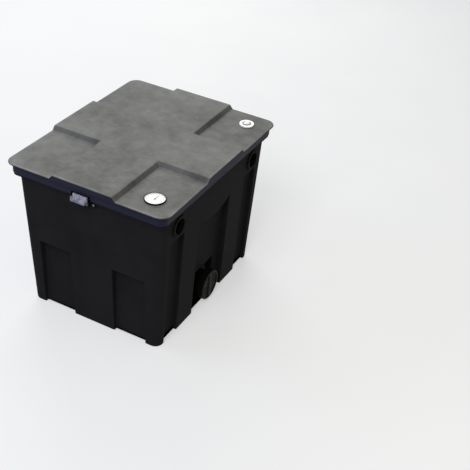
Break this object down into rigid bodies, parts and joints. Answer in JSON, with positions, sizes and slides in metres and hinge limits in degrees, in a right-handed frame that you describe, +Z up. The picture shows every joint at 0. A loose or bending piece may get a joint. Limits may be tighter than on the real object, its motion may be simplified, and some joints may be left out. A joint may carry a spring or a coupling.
{
  "type": "pond filter",
  "caption": "Flow-through pond filter box with a raised-cross lid, gauges, two round inlets, an outlet pipe, a drain cap and foam cartridges inside.",
  "frame": {"origin": "centre of the tank's base, on the ground", "axes": "+Z up, +X towards the inlets and the drain cap, -Y towards the front latch"},
  "size_m": [0.504, 0.596, 0.449],
  "materials": {
    "tank_plastic": "satin black moulded plastic with a fine grain",
    "lid_plastic": "satin black moulded plastic with a fine grain",
    "fitting_plastic": "smooth black moulded plastic",
    "inner_plastic": "dark grey moulded plastic",
    "latch_plastic": "smooth dark grey plastic",
    "white_plastic": "smooth white plastic",
    "clear_plastic": "clear moulded plastic",
    "needle_black": "black",
    "flag_orange": "orange plastic",
    "rubber": "black rubber",
    "steel": "stainless steel",
    "foam_coarse": "open-cell filter foam, red",
    "foam_medium": "open-cell filter foam, blue",
    "foam_fine": "open-cell filter foam, violet"
  },
  "bodies": {
    "tank": {"tank_shell": "tank_plastic", "inlet_seal_front": "rubber", "inlet_seal_rear": "rubber", "drain_spigot": "fitting_plastic", "drain_gasket": "rubber", "drain_locknut": "fitting_plastic", "outlet_spigot": "fitting_plastic", "outlet_gasket": "rubber", "outlet_locknut": "fitting_plastic", "support_grid": "inner_plastic", "inlet_partition": "inner_plastic", "outlet_partition": "inner_plastic", "foam_1": "foam_coarse", "foam_holder_1": "inner_plastic", "foam_2": "foam_coarse", "foam_holder_2": "inner_plastic", "foam_3": "foam_medium", "foam_holder_3": "inner_plastic", "foam_4": "foam_medium", "foam_holder_4": "inner_plastic", "foam_5": "foam_fine", "foam_holder_5": "inner_plastic", "front_latch_bracket": "fitting_plastic", "front_latch_pin": "steel", "front_latch_screws": "steel", "rear_latch_bracket": "fitting_plastic", "rear_latch_pin": "steel", "rear_latch_screws": "steel"},
    "lid": {"lid_panel": "lid_plastic", "lid_gasket": "rubber", "thermometer_housing": "fitting_plastic", "thermometer_dial": "white_plastic", "thermometer_lens": "clear_plastic", "thermometer_locknut": "fitting_plastic", "thermometer_probe": "steel", "indicator_ring": "white_plastic", "indicator_window": "clear_plastic", "indicator_guide": "inner_plastic", "indicator_locknut": "fitting_plastic"},
    "thermometer_needle": {"thermometer_needle": "needle_black"},
    "level_float": {"indicator_rod": "flag_orange", "indicator_float": "white_plastic"},
    "front_latch": {"front_latch_clip": "latch_plastic"},
    "rear_latch": {"rear_latch_clip": "latch_plastic"},
    "drain_seal": {"drain_cap_seal": "rubber"},
    "drain_cap": {"drain_cap": "fitting_plastic"}
  },
  "joints": [
    {"name": "lid_lift", "type": "slide", "parent": "tank", "child": "lid", "axis": [0, 0, 1], "range_m": [0, 0.15]},
    {"name": "needle_turn", "type": "hinge", "parent": "lid", "child": "thermometer_needle", "pos_m": [0.166, -0.228, 0.4404], "axis": [0, 0, 1], "range_deg": [-120, 120]},
    {"name": "float_rise", "type": "slide", "parent": "lid", "child": "level_float", "axis": [0, 0, 1], "range_m": [0, 0.008]},
    {"name": "front_latch_swing", "type": "hinge", "parent": "tank", "child": "front_latch", "pos_m": [-0.01, -0.281, 0.395], "axis": [1, 0, 0], "range_deg": [0, 95]},
    {"name": "rear_latch_swing", "type": "hinge", "parent": "tank", "child": "rear_latch", "pos_m": [0.01, 0.281, 0.395], "axis": [-1, 0, 0], "range_deg": [0, 95]},
    {"name": "drain_cap_travel", "type": "slide", "parent": "tank", "child": "drain_seal", "axis": [1, 0, 0], "range_m": [0, 0.012]},
    {"name": "drain_cap_turn", "type": "hinge", "parent": "drain_seal", "child": "drain_cap", "pos_m": [0.2, 0, 0.052], "axis": [1, 0, 0], "range_deg": [0, 1080]}
  ],
  "couplings": [
    {"joint": "drain_cap_travel", "follows": "drain_cap_turn", "m_per_rad": 0.00063662}
  ]
}
